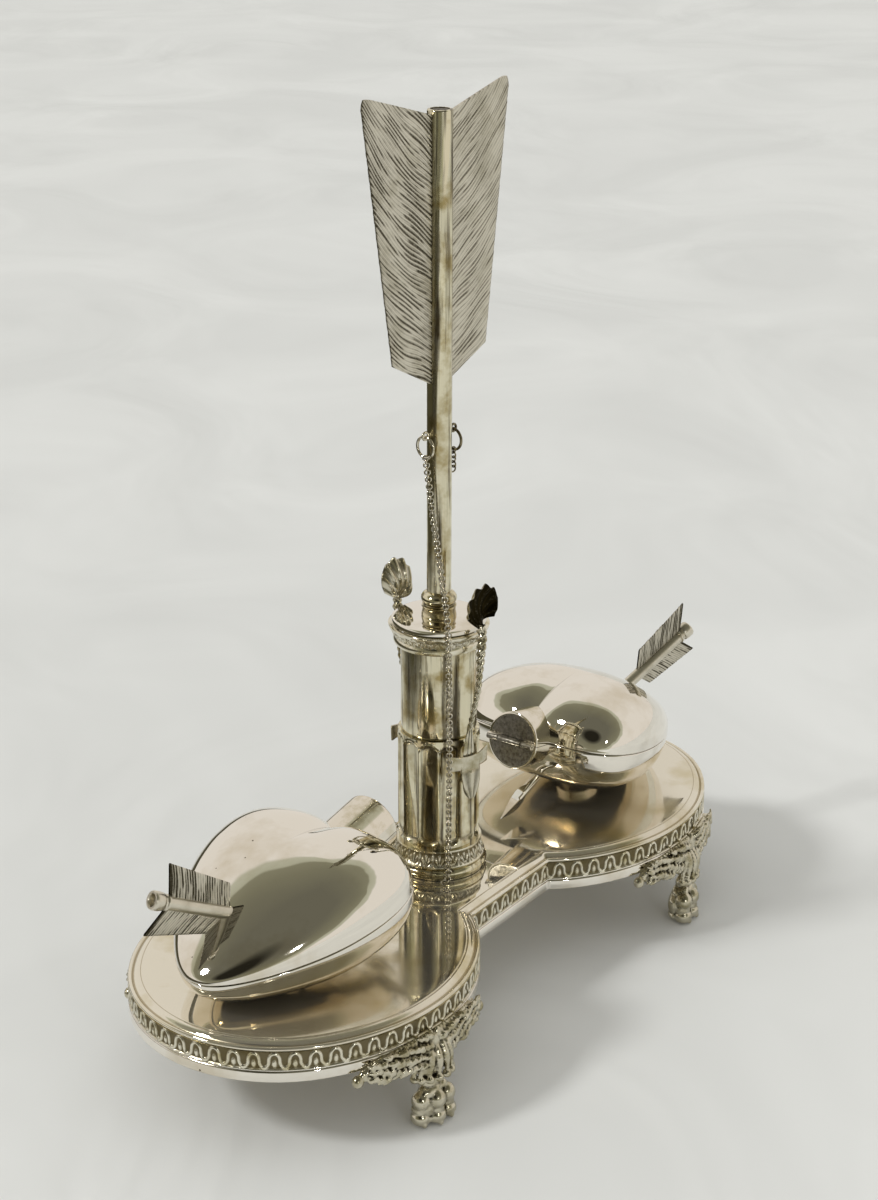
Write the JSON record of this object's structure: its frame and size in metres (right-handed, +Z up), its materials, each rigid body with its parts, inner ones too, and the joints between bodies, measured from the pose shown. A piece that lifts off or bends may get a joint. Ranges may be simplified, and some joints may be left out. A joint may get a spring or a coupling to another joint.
{
  "type": "desk inkstand",
  "caption": "Footed two-lobed tray with heart-shaped hinged boxes, a fluted quiver, an upright arrow handle, small shell spoons and a hanging chain.",
  "frame": {"origin": "on the ground, below the middle of the tray, under the quiver's axis", "axes": "+X along the tray towards the right heart, +Y across the tray to the back, +Z up along the arrow"},
  "size_m": [0.3015, 0.1234, 0.3212],
  "materials": {
    "silver_polished": "polished silver with light tarnish",
    "silver_cast": "cast and chased silver, dark in its recesses",
    "silver_chased": "engraved silver sheet",
    "silver_small": "chased silver",
    "silver_wire": "drawn silver wire",
    "hinge_pin": "drawn wire",
    "steel_fixing": "turned brass",
    "liner_glass": "clear moulded glass"
  },
  "bodies": {
    "stand": {"tray_plate": "silver_polished", "tray_band": "silver_cast", "tray_skirt": "silver_polished", "foot_front_left": "silver_cast", "foot_front_right": "silver_cast", "foot_back_left": "silver_cast", "foot_back_right": "silver_cast", "foot_stud_front_left": "steel_fixing", "foot_stud_front_right": "steel_fixing", "foot_stud_back_left": "steel_fixing", "foot_stud_back_right": "steel_fixing", "quiver_foot": "silver_polished", "quiver_foot_band": "silver_cast", "quiver_body": "silver_polished", "quiver_neck": "silver_polished", "quiver_band": "silver_cast", "quiver_lid": "silver_polished", "tie_rod": "steel_fixing", "tie_nut": "steel_fixing", "arrow_shaft": "silver_polished", "arrow_collar": "silver_polished", "arrow_vane_left": "silver_chased", "arrow_vane_right": "silver_chased", "ring_eye_left": "silver_wire", "ring_eye_right": "silver_wire", "ring_left": "silver_wire", "chain": "silver_wire", "bracket_front": "silver_small", "bracket_back": "silver_small", "heart_bowl_left": "silver_polished", "heart_bowl_right": "silver_polished", "bowl_stub_left": "silver_polished", "bowl_stub_right": "silver_polished", "hinge_pin_left": "hinge_pin", "hinge_pin_right": "hinge_pin", "deck_left": "silver_polished", "deck_right": "silver_polished", "pot_left": "liner_glass", "pot_right": "liner_glass", "heart_rest_left": "silver_polished", "heart_rest_right": "silver_polished", "heart_nut_left": "steel_fixing", "heart_nut_right": "steel_fixing", "head_arrow_left": "silver_polished", "head_arrow_right": "silver_polished"},
    "lid_left": {"heart_lid_left": "silver_polished", "lid_stub_left": "silver_polished", "tail_arrow_left": "silver_polished"},
    "lid_right": {"heart_lid_right": "silver_polished", "lid_stub_right": "silver_polished", "tail_arrow_right": "silver_polished"},
    "spoon_front": {"spoon_bowl_front": "silver_small", "spoon_stem_front": "silver_small"},
    "spoon_back": {"spoon_bowl_back": "silver_small", "spoon_stem_back": "silver_small"},
    "ring_right": {"ring_right": "silver_wire", "chain_stub": "silver_wire"}
  },
  "joints": [
    {"name": "lid_left_hinge", "type": "hinge", "parent": "stand", "child": "lid_left", "pos_m": [-0.03859, 0, 0.07496], "axis": [0, 1, 0], "range_deg": [0, 75]},
    {"name": "lid_right_hinge", "type": "hinge", "parent": "stand", "child": "lid_right", "pos_m": [0.04407, -0.00162, 0.07392], "axis": [-0.0366, -0.9993, 0], "range_deg": [0, 75]},
    {"name": "spoon_front_lift", "type": "slide", "parent": "stand", "child": "spoon_front", "axis": [0, 0, 1], "range_m": [0, 0.06]},
    {"name": "spoon_back_lift", "type": "slide", "parent": "stand", "child": "spoon_back", "axis": [0, 0, 1], "range_m": [0, 0.06]},
    {"name": "ring_right_swing", "type": "hinge", "parent": "stand", "child": "ring_right", "pos_m": [0.00672, -0.00106, 0.20335], "axis": [0.9877, -0.1564, 0], "range_deg": [-40, 40]}
  ]
}
